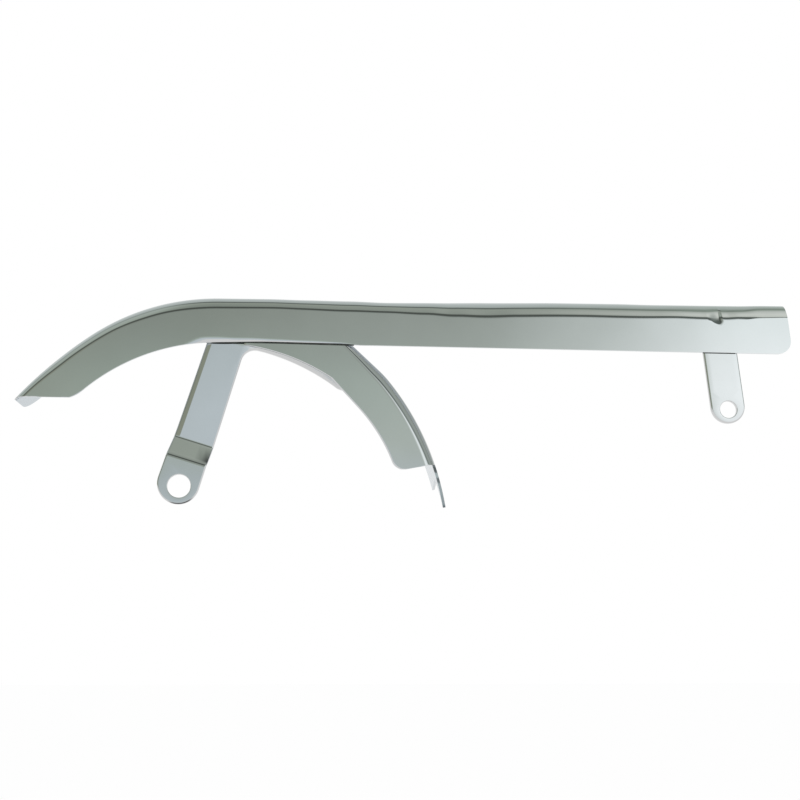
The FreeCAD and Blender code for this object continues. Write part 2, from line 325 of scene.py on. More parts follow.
# Room that the chrome mirrors: tones by angle from the front horizon over the top, as angle, grey, and the
# shares by which green and blue depart from it
ARC_LOW = -20.0
ARC_HIGH = 200.0
ROOM_LEFT = (
    (-4.0, 0.86, 0.05, 0.08), (-1.0, 0.72, 0.12, 0.18), (3.0, 0.74, 0.12, 0.17), (5.8, 0.62, 0.13, 0.16),
    (7.5, 0.56, 0.14, 0.04), (9.8, 0.48, 0.18, 0.05), (11.2, 0.40, 0.15, 0.02), (12.7, 0.36, 0.12, -0.01),
    (19.0, 0.33, 0.13, 0.0), (22.5, 0.10, 0.15, 0.0), (33.0, 0.11, 0.15, 0.0), (37.0, 0.32, 0.14, 0.0),
    (55.0, 0.36, 0.13, -0.02), (72.0, 0.42, 0.12, -0.03), (76.0, 0.17, 0.15, 0.05), (84.0, 0.17, 0.15, 0.05),
    (88.0, 0.60, 0.11, 0.06), (110.0, 0.67, 0.10, 0.08), (140.0, 0.84, 0.06, 0.05), (165.0, 1.0, 0.0, 0.0),
)
ROOM_RIGHT = (
    (-4.0, 1.0, 0.02, 0.03), (2.0, 1.15, 0.03, 0.05), (10.5, 1.38, 0.05, 0.06), (12.5, 1.20, 0.08, 0.08),
    (18.5, 1.18, 0.08, 0.08), (22.5, 0.13, 0.20, 0.10), (31.0, 0.15, 0.18, 0.08), (36.0, 0.86, 0.06, -0.02),
    (48.0, 0.94, 0.05, -0.02), (58.0, 0.82, 0.06, 0.0), (68.0, 0.62, 0.10, 0.0), (75.0, 0.34, 0.20, 0.03),
    (92.0, 0.38, 0.18, 0.03), (99.0, 0.54, 0.14, 0.04), (130.0, 0.62, 0.12, 0.05), (150.0, 0.84, 0.06, 0.05),
    (168.0, 1.0, 0.0, 0.0),
)
ROOM_FAR_LEFT = (
    (-4.0, 0.80, 0.05, 0.05), (2.0, 0.38, 0.08, -0.14), (18.0, 0.36, 0.08, -0.14), (23.0, 0.14, 0.15, 0.0),
    (33.0, 0.14, 0.15, 0.0), (39.0, 0.50, 0.14, 0.0), (70.0, 0.56, 0.14, 0.04), (77.0, 0.40, 0.15, 0.05),
    (84.0, 0.40, 0.15, 0.05), (88.0, 0.60, 0.12, 0.08), (135.0, 0.84, 0.08, 0.06), (147.0, 0.84, 0.06, 0.05),
    (155.0, 0.38, 0.08, -0.14), (172.0, 0.38, 0.08, -0.14), (182.0, 1.0, 0.0, 0.0),
)
ROOM_FAR_RIGHT = (
    (-4.0, 1.0, 0.02, 0.03), (2.0, 1.05, 0.03, 0.05), (10.5, 1.2, 0.05, 0.06), (18.5, 1.1, 0.08, 0.08),
    (22.5, 0.30, 0.15, 0.08), (31.0, 0.32, 0.14, 0.06), (36.0, 0.46, 0.12, 0.05), (70.0, 0.40, 0.12, 0.03),
    (80.0, 0.33, 0.13, 0.03), (112.0, 0.38, 0.12, 0.05), (140.0, 0.52, 0.10, 0.05), (165.0, 1.0, 0.0, 0.0),
)

# Share of the right hand tones by a direction's reach to the right, and where the far tones take over
ROOM_SIDES = (
    (-0.07, 0.0), (0.0, 0.05), (0.113, 0.12), (0.138, 0.2), (0.164, 0.31), (0.199, 0.41), (0.224, 0.54),
    (0.239, 0.665), (0.258, 0.76), (0.272, 0.88), (0.303, 0.98), (0.36, 1.0),
)
FAR_RIGHT_RUN = (0.34, 0.46)
FAR_LEFT_RUN = (-0.09, -0.3)

# Reach to the back over which the room gives way to white
BACK_RUN = (0.95, 0.8)

# Sockets of a colour mix node
MIX_SHARE = 0
MIX_LOW = 6
MIX_HIGH = 7
MIX_RESULT = 2


def spot(x, z, y=0.0):
    """Point in millimetres from its place along, its height and its depth."""
    return Vector((x, y, z))


def tilt(angle):
    """Unit direction in the front plane, in degrees from +Z towards +X."""
    turn = math.radians(angle)
    return spot(math.sin(turn), math.cos(turn))


def mix(low, high, share):
    return low + (high - low) * share


def ease(value, low, high):
    """Smooth step from 0 at low to 1 at high."""
    share = min(max((value - low) / (high - low), 0.0), 1.0)
    return share * share * (3 - 2 * share)


def along(stops, place):
    """Value at a place, eased from stop to stop."""
    value = stops[0][1]
    for (start, low), (end, high) in zip(stops, stops[1:]):
        value += (high - low) * ease(place, start, end)
    return value


def even(low, high, count):
    """Evenly spaced values from low on, stopping short of high."""
    return [mix(low, high, i / count) for i in range(count)]


def solve(side, low, high):
    """Place between low and high where side changes its sign."""
    first = side(low) > 0
    for _ in range(50):
        middle = (low + high) / 2
        if (side(middle) > 0) == first:
            low = middle
        else:
            high = middle
    return (low + high) / 2


def corner_drop(distance, radius):
    """How far a rounded corner has left its edge, at a distance from the corner along that edge."""
    gap = max(radius - distance, 0.0)
    return radius - math.sqrt(max(radius * radius - gap * gap, 0.0))


def corner_steps(radius, count):
    """Distances from a corner that follow its rounding in even turns."""
    return [radius * (1 - math.cos(math.pi / 2 * i / count)) for i in range(count)]


def guard_line(distance):
    """Point and outward direction on the guard's top line, from its front end to the tail."""
    rise = math.degrees(math.atan2(FRONT_RISE, FRONT_X - CURVE_X))
    main = spot(CURVE_X, TOP_Z - REAR_RADIUS)
    start = main + tilt(-rise) * REAR_RADIUS
    straight = FRONT_X - start.x
    if distance < straight:
        return start + tilt(90 - rise) * (straight - distance), tilt(-rise)
    angle = rise + math.degrees((distance - straight) / REAR_RADIUS)
    if angle < REAR_ANGLE:
        return main + tilt(-angle) * REAR_RADIUS, tilt(-angle)
    tail = main + tilt(-REAR_ANGLE) * (REAR_RADIUS - TAIL_RADIUS)
    done = straight + math.radians(REAR_ANGLE - rise) * REAR_RADIUS
    angle = REAR_ANGLE + math.degrees((distance - done) / TAIL_RADIUS)
    return tail + tilt(-angle) * TAIL_RADIUS, tilt(-angle)


def guard_length():
    """Length of the guard's top line."""
    rise = math.atan2(FRONT_RISE, FRONT_X - CURVE_X)
    rear = (math.radians(REAR_ANGLE) - rise) * REAR_RADIUS
    tail = math.radians(TAIL_ANGLE - REAR_ANGLE) * TAIL_RADIUS
    return FRONT_X - CURVE_X + rear + tail


def straight_edge(x):
    """Height of the lower edge of the guard's straight face, without its rise over the lap."""
    return LOWER_Z - FRONT_DROP * (x - CURVE_X) / (FRONT_X - CURVE_X)


def face_reach(point, outward):
    """Distance from the top line in to the lower edge of the guard's face."""
    if point.x > CURVE_X:
        return (point.z - straight_edge(point.x)) / outward.z
    gap = point - spot(CURVE_X, LOWER_Z - LOWER_RADIUS)
    near = gap.dot(outward)
    return near - math.sqrt(near * near - gap.length_squared + LOWER_RADIUS * LOWER_RADIUS)


def guard_section(distance):
    """Top point, outward direction, bend radius and reach of the face at a distance along the guard."""
    point, outward = guard_line(distance)
    bend = along(BEND_RADII, point.x)
    lift = BEND_LIFT * (bend - GUARD_BEND) + along(TOP_WAVE, point.x)
    return point + outward * lift, outward, bend, face_reach(point, outward) + lift


def pinch_at(x, over, bend):
    """Inward mark over the tab: the bend starts lower there, with a long left and a short right flank."""
    flank = mix(*PINCH_RIGHT, ease(over, *PINCH_NARROWS))
    share = ease(x, PINCH_X - PINCH_LEFT, PINCH_X) * (1 - ease(x, PINCH_X, PINCH_X + flank))
    share = max(share, PINCH_HALO * math.exp(-((x - PINCH_X) / PINCH_HALO_WIDTH) ** 2))
    fall = PINCH_FALL * share
    if over < -fall or share < PINCH_LEAST:
        return 0.0
    rise = min(over, PINCH_TOP) + fall
    foot = PINCH_SLOPE * share
    top = PINCH_TOP / math.sqrt(bend ** 2 - PINCH_TOP ** 2)
    late = max(rise - PINCH_FOOT, 0.0)
    mark = foot * (min(rise, PINCH_FOOT) ** 2 / (2 * PINCH_FOOT) + late)
    mark += (top - foot) * late ** 2 / (2 * (PINCH_TOP + fall - PINCH_FOOT))
    if over > 0:
        mark -= bend - math.sqrt(bend ** 2 - min(over, PINCH_TOP) ** 2)
    mark = max(mark, 0.0) * min(share / PINCH_FULL, 1.0)
    return mark * (1 - ease(over, PINCH_TOP, PINCH_FADE * bend))


def crease_at(x, over, bend):
    """Sharper start of the bend towards the front end."""
    rise = CREASE_SLOPE * ease(x, *CREASE_RUN) * max(over, 0.0)
    return rise * (1 - ease(over, 0.0, CREASE_FADE * bend))


def shield_line(distance):
    """Point and outward direction on the shield's outer line, from the top of its lap to its lower end."""
    main = spot(*SHIELD_CENTRE)
    knee = main + tilt(SHIELD_BREAK_ANGLE) * (SHIELD_RADIUS - SHIELD_BLEND)
    start = knee + tilt(SHIELD_SLOPE_ANGLE) * SHIELD_BLEND
    straight = (LOWER_Z + LAP_HEIGHT - start.z) / math.sin(math.radians(SHIELD_SLOPE_ANGLE))
    if distance < straight:
        return start + tilt(SHIELD_SLOPE_ANGLE - 90) * (straight - distance), tilt(SHIELD_SLOPE_ANGLE)
    angle = SHIELD_SLOPE_ANGLE + math.degrees((distance - straight) / SHIELD_BLEND)
    if angle < SHIELD_BREAK_ANGLE:
        return knee + tilt(angle) * SHIELD_BLEND, tilt(angle)
    done = straight + math.radians(SHIELD_BREAK_ANGLE - SHIELD_SLOPE_ANGLE) * SHIELD_BLEND
    angle = SHIELD_BREAK_ANGLE + math.degrees((distance - done) / SHIELD_RADIUS)
    return main + tilt(angle) * SHIELD_RADIUS, tilt(angle)


def shield_length():
    """Length of the shield's outer line, which is shorter than its radius."""
    tip = spot(*SHIELD_CENTRE) + tilt(SHIELD_END_ANGLE) * SHIELD_RADIUS
    return solve(lambda d: shield_line(d)[0].z - tip.z, 0.0, SHIELD_RADIUS)


def shield_inset(distance, inset):
    """Point in from the shield's outer line."""
    point, outward = shield_line(distance)
    return point - outward * inset


def lap_runs():
    """Lengths of the flange's left end and of the yoke's arc after it."""
    first = math.asin((LAP_LEFT - YOKE_X) / YOKE_RADIUS)
    side = LAP_HEIGHT + YOKE_RADIUS * (1 - math.cos(first))
    return side, (math.radians(YOKE_ANGLE) - first) * YOKE_RADIUS


def nip_points():
    """Centre of the yoke's arc, the corner that ends it, and the centre of the nip's arc."""
    upper = spot(YOKE_X, LOWER_Z - YOKE_RADIUS)
    corner = upper + tilt(YOKE_ANGLE) * YOKE_RADIUS
    touch = corner + tilt(NIP_START_ANGLE + 90) * NIP_LINE
    return upper, corner, touch - tilt(NIP_START_ANGLE) * NIP_RADIUS


def nip_line(distance):
    """Point on the flange's inner edge, from the top left of the lap to the lower end."""
    upper, corner, lower = nip_points()
    side, yoke = lap_runs()
    if distance < side:
        return spot(LAP_LEFT, LOWER_Z + LAP_HEIGHT - distance)
    distance -= side
    if distance < yoke:
        return upper + tilt(YOKE_ANGLE - math.degrees((yoke - distance) / YOKE_RADIUS)) * YOKE_RADIUS
    distance -= yoke
    if distance < NIP_LINE:
        return corner + tilt(NIP_START_ANGLE + 90) * distance
    return lower + tilt(NIP_START_ANGLE + math.degrees((distance - NIP_LINE) / NIP_RADIUS)) * NIP_RADIUS


def blank(bm, columns, rows):
    """Flat blank for a sheet: a grid, with its vertices by column and row."""
    made = bmesh.ops.create_grid(bm, x_segments=columns - 1, y_segments=rows - 1, size=1.0)
    spots = {}
    for vert in made["verts"]:
        column = round((vert.co.x + 1) / 2 * (columns - 1))
        row = round((vert.co.y + 1) / 2 * (rows - 1))
        spots[column, row] = vert
    return spots


def fold_sheet(bm, columns, rows, place, keep):
    """Sheet with an outer side, 0, and an inner side, 1: each is a blank that is folded by place and
    trimmed by keep, and their rims are bridged."""
    inside = bm.verts.layers.float.get("inside") or bm.verts.layers.float.new("inside")
    for side in (0, 1):
        spots = blank(bm, columns, rows)
        where = {vert: key for key, vert in spots.items()}
        for (column, row), vert in spots.items():
            vert.co = place(column, row, side)
            # Marks the inner side, which the chrome makes darker and bluer: thinner plating, and painted
            # shade
            vert[inside] = side
        spare = []
        for face in bm.faces:
            keys = [where[vert] for vert in face.verts if vert in where]
            if keys and not keep(min(key[0] for key in keys), min(key[1] for key in keys)):
                spare.append(face)
        bmesh.ops.delete(bm, geom=spare, context="FACES")
    rim = [edge for edge in bm.edges if edge.is_boundary]
    bmesh.ops.bridge_loops(bm, edges=rim)
    bmesh.ops.recalc_face_normals(bm, faces=bm.faces)


def sharp_edges(bm):
    """Edges where two faces meet at a sharp angle."""
    least = math.radians(SHARP_ANGLE)
    return [edge for edge in bm.edges if edge.is_manifold and edge.calc_face_angle() > least]


def soften(bm, edges, radius=EDGE_ROUND, segments=EDGE_SEGMENTS):
    """Rounded edges of one radius."""
    bmesh.ops.bevel(
        bm, geom=edges, offset=radius, offset_type="OFFSET", segments=segments,
        profile=0.5, affect="EDGES", clamp_overlap=True, material=-1,
    )


def round_corner(bm, vert, length, segments):
    """Rounded corner of a flat outline, from a length along each of its edges."""
    bmesh.ops.bevel(
        bm, geom=[vert], offset=length, offset_type="OFFSET", segments=segments,
        profile=0.5, affect="VERTICES", clamp_overlap=False, material=-1,
    )


def chain(bm, centre, radius, start, end, steps):
    """Vertices spun along an arc of the front plane, in order."""
    verts = [bm.verts.new(centre + tilt(start) * radius)]
    turn = math.radians((end - start) / steps)
    for _ in range(steps):
        made = bmesh.ops.spin(bm, geom=[verts[-1]], cent=centre, axis=(0, 1, 0), angle=turn, steps=1)
        verts += [part for part in made["geom_last"] if isinstance(part, bmesh.types.BMVert)]
    return verts


def joined(bm, verts):
    """Edges from each vertex to the next, made where they are missing."""
    return [bm.edges.get(pair) or bm.edges.new(pair) for pair in zip(verts, verts[1:])]


def lug_end(bm, hole, hole_radius, left, right, swell, height, shares):
    """Flat round end of a plate about its hole, up to a height; gives the vertices across its top."""
    middle = (left(swell) + right(swell)) / 2
    side = right(swell) - left(swell)
    start = math.degrees(math.atan2(side.x, side.z))
    verts = chain(bm, middle, side.length / 2, start, start + 180, LUG_STEPS)
    steps = even(swell, height, LUG_SIDE_STEPS)[1:]
    verts += [bm.verts.new(left(step)) for step in steps]
    across = [bm.verts.new(left(height).lerp(right(height), share)) for share in shares]
    verts += across
    verts += [bm.verts.new(right(step)) for step in reversed(steps)]
    ring = bmesh.ops.create_circle(
        bm, radius=hole_radius, segments=len(verts),
        matrix=Matrix.Translation(hole) @ Matrix.Rotation(math.pi / 2, 4, "X"),
    )
    rim = {edge for vert in ring["verts"] for edge in vert.link_edges}
    bmesh.ops.bridge_loops(bm, edges=list(rim) + joined(bm, verts + verts[:1]))
    return across


def raise_rows(bm, across, left, right, heights, shares):
    """Rows of a plate, drawn up from the vertices across it; gives the vertices across its top."""
    for height in heights:
        made = bmesh.ops.extrude_edge_only(bm, edges=joined(bm, across))
        verts = [part for part in made["geom"] if isinstance(part, bmesh.types.BMVert)]
        side = right(height) - left(height)
        across = sorted(verts, key=lambda vert: vert.co.dot(side))
        for vert, share in zip(across, shares):
            vert.co = left(height).lerp(right(height), share)
    return across


def thicken(bm, edge_radius, edge_segments, hole, hole_radius):
    """Plate from a flat outline: full thickness, rounded front edges, broken back and hole edges."""
    bmesh.ops.recalc_face_normals(bm, faces=bm.faces)
    if sum(face.normal.y * face.calc_area() for face in bm.faces) > 0:
        bmesh.ops.reverse_faces(bm, faces=bm.faces)
    bmesh.ops.solidify(bm, geom=bm.faces, thickness=PLATE)
    bmesh.ops.recalc_face_normals(bm, faces=bm.faces)
    front = []
    small = []
    for edge in sharp_edges(bm):
        if abs(edge.verts[0].co.y - edge.verts[1].co.y) > NEAR:
            continue
        middle = (edge.verts[0].co + edge.verts[1].co) / 2
        at_hole = math.hypot(middle.x - hole.x, middle.z - hole.z) < hole_radius + NEAR
        (small if at_hole or middle.y > PLATE / 2 else front).append(edge)
    soften(bm, small)
    front = [edge for edge in front if edge.is_valid]
    soften(bm, front, edge_radius, edge_segments)


def finish_piece(bm, name, material, node=None):
    """Object from a mesh in millimetres, standing for a CAD node where one is named."""
    bmesh.ops.scale(bm, vec=(MM, MM, MM), verts=bm.verts)
    for face in bm.faces:
        face.smooth = True
    mesh = bpy.data.meshes.new(name)
    bm.to_mesh(mesh)
    bm.free()
    piece = bpy.data.objects.new(name, mesh)
    bpy.context.scene.collection.objects.link(piece)
    mesh.materials.append(material)
    normals = piece.modifiers.new("flat_faces", "WEIGHTED_NORMAL")
    normals.mode = "FACE_AREA"
    normals.weight = NORMAL_WEIGHT
    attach(piece, "root")
    if node:
        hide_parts(node)


def feed(tree, socket, value):
    """Input set to a value, or fed by another node's output."""
    if isinstance(value, bpy.types.NodeSocket):
        tree.links.new(value, socket)
    else:
        socket.default_value = value


def add_node(tree, kind, inputs=None):
    """New shader node of a kind, with its inputs by name or number."""
    node = tree.nodes.new("ShaderNode" + kind)
    for socket, value in (inputs or {}).items():
        feed(tree, node.inputs[socket], value)
    return node


def worked_out(tree, operation, *values):
    """Output of a math node."""
    node = add_node(tree, "Math")
    node.operation = operation
    for socket, value in zip(node.inputs, values):
        feed(tree, socket, value)
    return node.outputs["Value"]


def blended(tree, share, low, high):
    """Colour from low at share 0 to high at share 1."""
    node = add_node(tree, "Mix")
    node.data_type = "RGBA"
    for socket, value in ((MIX_SHARE, share), (MIX_LOW, low), (MIX_HIGH, high)):
        feed(tree, node.inputs[socket], value)
    return node.outputs[MIX_RESULT]


def mapped(tree, value, low, high, smooth=False):
    """Share from 0 at low to 1 at high, straight or as a smooth step."""
    node = add_node(tree, "MapRange", {"Value": value, "From Min": low, "From Max": high})
    if smooth:
        node.interpolation_type = "SMOOTHSTEP"
    return node.outputs["Result"]


def noise(tree, place, scale, detail):
    return add_node(tree, "TexNoise", {"Vector": place, "Scale": scale, "Detail": detail}).outputs["Fac"]


def painted(tree, name):
    """Value that the vertices carry under a name."""
    node = add_node(tree, "Attribute")
    node.attribute_name = name
    return node.outputs["Fac"]


def ramp(tree, share, stops):
    """Colour at a share from 0 to 1, from stops of a place and a colour."""
    node = add_node(tree, "ValToRGB", {"Fac": share})
    elements = node.color_ramp.elements
    while len(elements) < len(stops):
        elements.new(0.5)
    for element, (place, colour) in zip(elements, stops):
        element.position = place
        element.color = tuple(colour) + (1.0,)
    return node.outputs["Color"]


def grey(value, green=0.0, blue=0.0):
    """Colour near a grey, with shares by which green and blue depart from it."""
    return (value, value * (1 + green), value * (1 + blue))


def new_material(name):
    """Material with its node tree and its shader's inputs."""
    material = bpy.data.materials.new(name)
    material.use_nodes = True
    return material, material.node_tree, material.node_tree.nodes["Principled BSDF"].inputs


def chrome(name):
    """Bright plated steel: a clear mirror with slow waves, polishing marks and uneven haze, an inner side
    made darker and bluer by thinner plating and painted shade, and dark marks that include a painted
    reflection.
    """
    settings = bpy.context.scene.belt_guard_chrome
    material, tree, surface = new_material(name)
    place = add_node(tree, "TexCoord").outputs["Object"]
    inside = painted(tree, "inside")
    colour = settings.plating[:3]
    stops = [(place_at, [min(part * share, 1.0) for part in colour]) for place_at, share in CLOUD_STOPS]
    clouded = ramp(tree, noise(tree, place, *CLOUDS), stops)
    # Painted shade, with thinner plating: the inner side of each folded sheet takes a darker, bluer mirror
    # colour
    thin_and_shaded_inside = blended(tree, inside, clouded, settings.inside)
    # Dark mirror colour where the vertices carry it: a painted reflection on the foot's lower rim, and
    # darker marks on the ear and beside the joggle
    with_dark_marks_and_reflection = blended(tree, painted(tree, "dark_marks_and_reflection"), thin_and_shaded_inside, settings.dark_marks_and_reflection)

    turn = (0.0, math.radians(MARK_TURNS[name]), 0.0)
    grain = add_node(tree, "Mapping", {"Vector": place, "Rotation": turn, "Scale": MARK_STRETCH})
    marks = noise(tree, grain.outputs["Vector"], *MARKS)
    haze = add_node(tree, "MapRange", {
        "Value": marks, "From Min": HAZE_RUN[0], "From Max": HAZE_RUN[1],
        "To Min": settings.haze_low, "To Max": settings.haze_high,
    })
    rough = worked_out(tree, "MULTIPLY_ADD", inside, settings.inside_haze, haze.outputs["Result"])

    waves = noise(tree, place, *WAVES)
    swell = add_node(tree, "Bump", {"Strength": 1.0, "Distance": settings.wave_height, "Height": waves})
    scratches = add_node(tree, "Bump", {
        "Strength": 1.0, "Distance": settings.mark_height, "Height": marks,
        "Normal": swell.outputs["Normal"],
    })
    feed(tree, surface["Metallic"], 1.0)
    feed(tree, surface["Base Color"], with_dark_marks_and_reflection)
    feed(tree, surface["Roughness"], rough)
    feed(tree, surface["Normal"], scratches.outputs["Normal"])
    return material


def plating(name):
    """The chrome of the sheets or of the plates, made once."""
    return bpy.data.materials.get(name) or chrome(name)


def gap_shade_steel():
    """Painted shade of the lap's gap on dull bare steel: dark, and darker in patches."""
    material, tree, surface = new_material("gap_shade_on_bare_steel")
    shade_patches = noise(tree, add_node(tree, "TexCoord").outputs["Object"], *GAP_SHADE_PATCHES)
    rough = add_node(tree, "MapRange", {
        "Value": shade_patches, "To Min": GAP_PATCH_ROUGHNESS[0], "To Max": GAP_PATCH_ROUGHNESS[1],
    })
    feed(tree, surface["Metallic"], BARE_METALLIC)
    # Painted shade: the darkness of the gap is given as these dark tones of the steel
    feed(tree, surface["Base Color"], ramp(tree, shade_patches, GAP_SHADE_TONES))
    feed(tree, surface["Roughness"], rough.outputs["Result"])
    return material


def build_guard_channel():
    """Face, rolled bend and top web, with a pinch mark over the tab and a dressed margin along the lap."""
    margin = bpy.context.scene.belt_guard_dents.margin_slope
    length = guard_length()
    straight = FRONT_X - CURVE_X
    step_end = solve(lambda d: guard_line(d)[0].z - REAR_END_Z, straight, length)
    pinch = FRONT_X - PINCH_X
    corner = step_end - CORNER_REACH
    ties = (WEB_CORNER, pinch - PINCH_AHEAD, pinch + PINCH_BEHIND, straight, corner, step_end)
    stations = corner_steps(WEB_CORNER, FRONT_COLUMNS)
    for start, end, count in zip(ties, ties[1:], RUN_COLUMNS):
        stations += even(start, end, count)
    face_last = len(stations)
    stations.append(step_end)
    tail = [length - step for step in reversed(corner_steps(TAIL_WEB_CORNER, TAIL_COLUMNS))]
    stations += [distance for distance in tail if distance > step_end + TAIL_GAP]

    shares = [height / FACE_SPAN for height in FACE_ROWS]
    first_web = len(shares) + GUARD_TURNS
    rows = first_web + len(WEB_SHARES)

    def bend_turn(row):
        """Angle of a row of the bend, from the face to the web."""
        return math.pi / 2 * (row - len(shares)) / GUARD_TURNS

    def row_end(row):
        """Where a row of the face or bend comes down to the sloping end of the face."""
        end = REAR_END_Z
        if row < len(shares):
            end -= REAR_FALL * (1 - shares[row])

        def height(distance):
            point, outward, bend, reach = guard_section(distance)
            if row < len(shares):
                inset = mix(reach, bend, shares[row])
            else:
                inset = bend * (1 - math.sin(bend_turn(row)))
            return point.z - outward.z * inset - end
        return solve(height, straight, length)

    row_ends = [row_end(row) for row in range(first_web)]

    def place(column, row, side):
        station = stations[column]
        distance = station
        thick = SHEET * side
        if row < first_web:
            distance += (row_ends[row] - step_end) * ease(distance, straight, step_end)
        point, outward, bend, reach = guard_section(distance)
        if row >= first_web:
            share = WEB_SHARES[row - first_web]
            depth = mix(bend, GUARD_DEPTH, share)
            depth -= corner_drop(station, WEB_CORNER) * share
            depth -= corner_drop(length - station, TAIL_WEB_CORNER) * share
            return point - outward * thick + spot(0, 0, depth)
        dent = 0.0
        if row >= len(shares):
            turn = bend_turn(row)
            inset = bend - (bend - thick) * math.sin(turn)
            depth = bend - (bend - thick) * math.cos(turn)
        else:
            rear_gap = max(CORNER_REACH - (step_end - station), 0.0)
            low = reach - corner_drop(station, FRONT_CORNER) - rear_gap ** 2 / (2 * REAR_CORNER)
            low -= along(EDGE_RISE, point.x)
            inset = mix(low, bend, shares[row])
            depth = thick
            width = along(MARGIN_WIDTHS, point.x)
            if side == 0 and width > MARGIN_LEAST:
                dent = margin * width * max(1 - (low - inset) / width, 0.0)
        spot_on = point - outward * inset
        slant = math.tan(math.radians(FRONT_ANGLE))
        spot_on.x += inset * slant * (1 - ease(station, 0.0, FRONT_FADE))
        dent += pinch_at(spot_on.x, bend - inset, bend) + crease_at(spot_on.x, bend - inset, bend)
        spot_on.y = depth + dent
        return spot_on

    def keep(column, row):
        """Whether the sheet has the cell: past the face only the web and the tongue's rows are left."""
        return column < face_last or row >= first_web - TONGUE_ROWS

    bm = bmesh.new()
    fold_sheet(bm, len(stations), rows, place, keep)
    soften(bm, sharp_edges(bm))
    finish_piece(bm, "guard_channel_sheet", plating("chrome_sheet"), "guard_channel")


def build_pulley_shield():
    """Flange, bend and curved web, with the lap behind the guard and the ear at the lower end."""
    tip = shield_length()
    run = tilt(90 - FLANGE_END_ANGLE)
    hinge = spot(nip_points()[2].x + NIP_RADIUS, FLANGE_END_Z)

    def over_end(point):
        """Height over the line that ends the flange."""
        return point.z - hinge.z - (point.x - hinge.x) * run.z / run.x

    def flange_end(inset):
        """Where a line at an inset from the outer line meets the end of the flange."""
        return solve(lambda d: over_end(shield_inset(d, inset)), 0.0, tip)

    side_run, yoke = lap_runs()
    nip_start = side_run + yoke
    nip_last = solve(lambda d: over_end(nip_line(d)), nip_start, nip_start + tip)
    lap_foot = solve(lambda d: shield_line(d)[0].z - LOWER_Z - WEB_RISE, 0.0, tip)
    web_top = solve(lambda d: shield_line(d)[0].z - (LOWER_Z + WEB_RISE - WEB_CLEARANCE), 0.0, tip)
    break_at = solve(lambda d: shield_line(d)[0].x - BREAK_X, 0.0, tip)
    flange_last = flange_end(0.0)
    tangent_end = flange_end(SHIELD_BEND)
    nip_ties = (0.0, side_run, side_run + LAP_STEP, nip_start, nip_last - FLANGE_CORNER, nip_last)
    line_ties = (0.0, lap_foot, web_top, break_at, flange_last - FLANGE_CORNER, flange_last)
    pairs = []
    for tie, count in enumerate(SHIELD_COLUMNS):
        nips = even(nip_ties[tie], nip_ties[tie + 1], count)
        lines = even(line_ties[tie], line_ties[tie + 1], count)
        pairs += zip(nips, lines)
    flange_column = len(pairs)
    pairs.append((nip_last, flange_last))
    lap_column = SHIELD_COLUMNS[0]
    web_column = sum(SHIELD_COLUMNS[:2])

    web_first = FLANGE_Y + SHIELD_BEND
    notch_y = FLANGE_Y + EAR_WIDTH
    web_last = FLANGE_Y + SHIELD_DEPTH
    depths = even(web_first, notch_y, EAR_ROWS) + even(notch_y, web_last, WEB_ROWS) + [web_last]
    first_bend = len(FLANGE_SHARES)
    first_web = first_bend + SHIELD_TURNS

    def web_end(depth):
        """Where the web stops at a depth: the ear's slant, then the far end's slant."""
        if depth < notch_y:
            return tip - EAR_LENGTH * (depth - web_first) / (notch_y - web_first)
        return tip - EAR_LENGTH + END_SLANT * (depth - notch_y) / (web_last - notch_y)

    def bend_at(distance):
        """Radius of the bend, which starts tighter at its upper end."""
        return mix(SHIELD_BEND_TOP, SHIELD_BEND, ease(distance, web_top, break_at))

    def place(column, row, side):
        thick = SHEET * side
        if row >= first_web:
            depth = depths[row - first_web]
            if column <= flange_column:
                distance = pairs[column][1]
                if row == first_web:
                    depth = FLANGE_Y + bend_at(distance)
            else:
                distance = mix(flange_last, web_end(depth), (column - flange_column) / EAR_COLUMNS)
            return shield_inset(distance, thick) + spot(0, 0, depth)
        nip_at, distance = pairs[min(column, flange_column)]
        late = ease(distance, break_at, flange_last)
        if row >= first_bend:
            turn = math.pi / 2 * (row - first_bend) / SHIELD_TURNS
            bend = bend_at(distance)
            inset = bend - (bend - thick) * math.sin(turn)
            depth = bend - (bend - thick) * math.cos(turn)
            distance += (flange_end(inset) - flange_last) * late
            return shield_inset(distance, inset) + spot(0, 0, FLANGE_Y + depth)
        outer = shield_inset(distance + (tangent_end - flange_last) * late, bend_at(distance))
        inner = nip_line(nip_at)
        inner = inner + (outer - inner).normalized() * corner_drop(nip_last - nip_at, FLANGE_CORNER)
        share = FLANGE_SHARES[row]
        depth = FLANGE_Y + thick
        if side == 0:
            depth += max(NIP_ROUND - share * (outer - inner).length, 0.0) ** 2 / (2 * NIP_ROUND)
        return inner.lerp(outer, share) + spot(0, 0, depth)

    def keep(column, row):
        """Whether the sheet has the cell: the lap has no web, and past the flange there is only web."""
        if column >= flange_column:
            return row >= first_web
        if row < first_web:
            return column >= lap_column or row < first_bend + SHIELD_TURNS // 2
        return column >= web_column

    bm = bmesh.new()
    fold_sheet(bm, len(pairs) + EAR_COLUMNS, first_web + len(depths), place, keep)
    soften(bm, sharp_edges(bm))
    # Darker tone along the ear's cut edge, fading back from it
    high = shield_line(flange_last)[0].z
    low = shield_line(tip)[0].z
    dark_marks_and_reflection = bm.verts.layers.float.new("dark_marks_and_reflection")
    for vert in bm.verts:
        behind = vert.co.y - web_first
        if vert.co.z < high and -SHEET < behind < EAR_DARKENING_FADE[1]:
            share = (high - vert.co.z) / (high - low)
            vert[dark_marks_and_reflection] = along(EAR_DARKENING, share) * (1 - ease(behind, *EAR_DARKENING_FADE))
    finish_piece(bm, "pulley_shield_sheet", plating("chrome_sheet"), "pulley_shield")


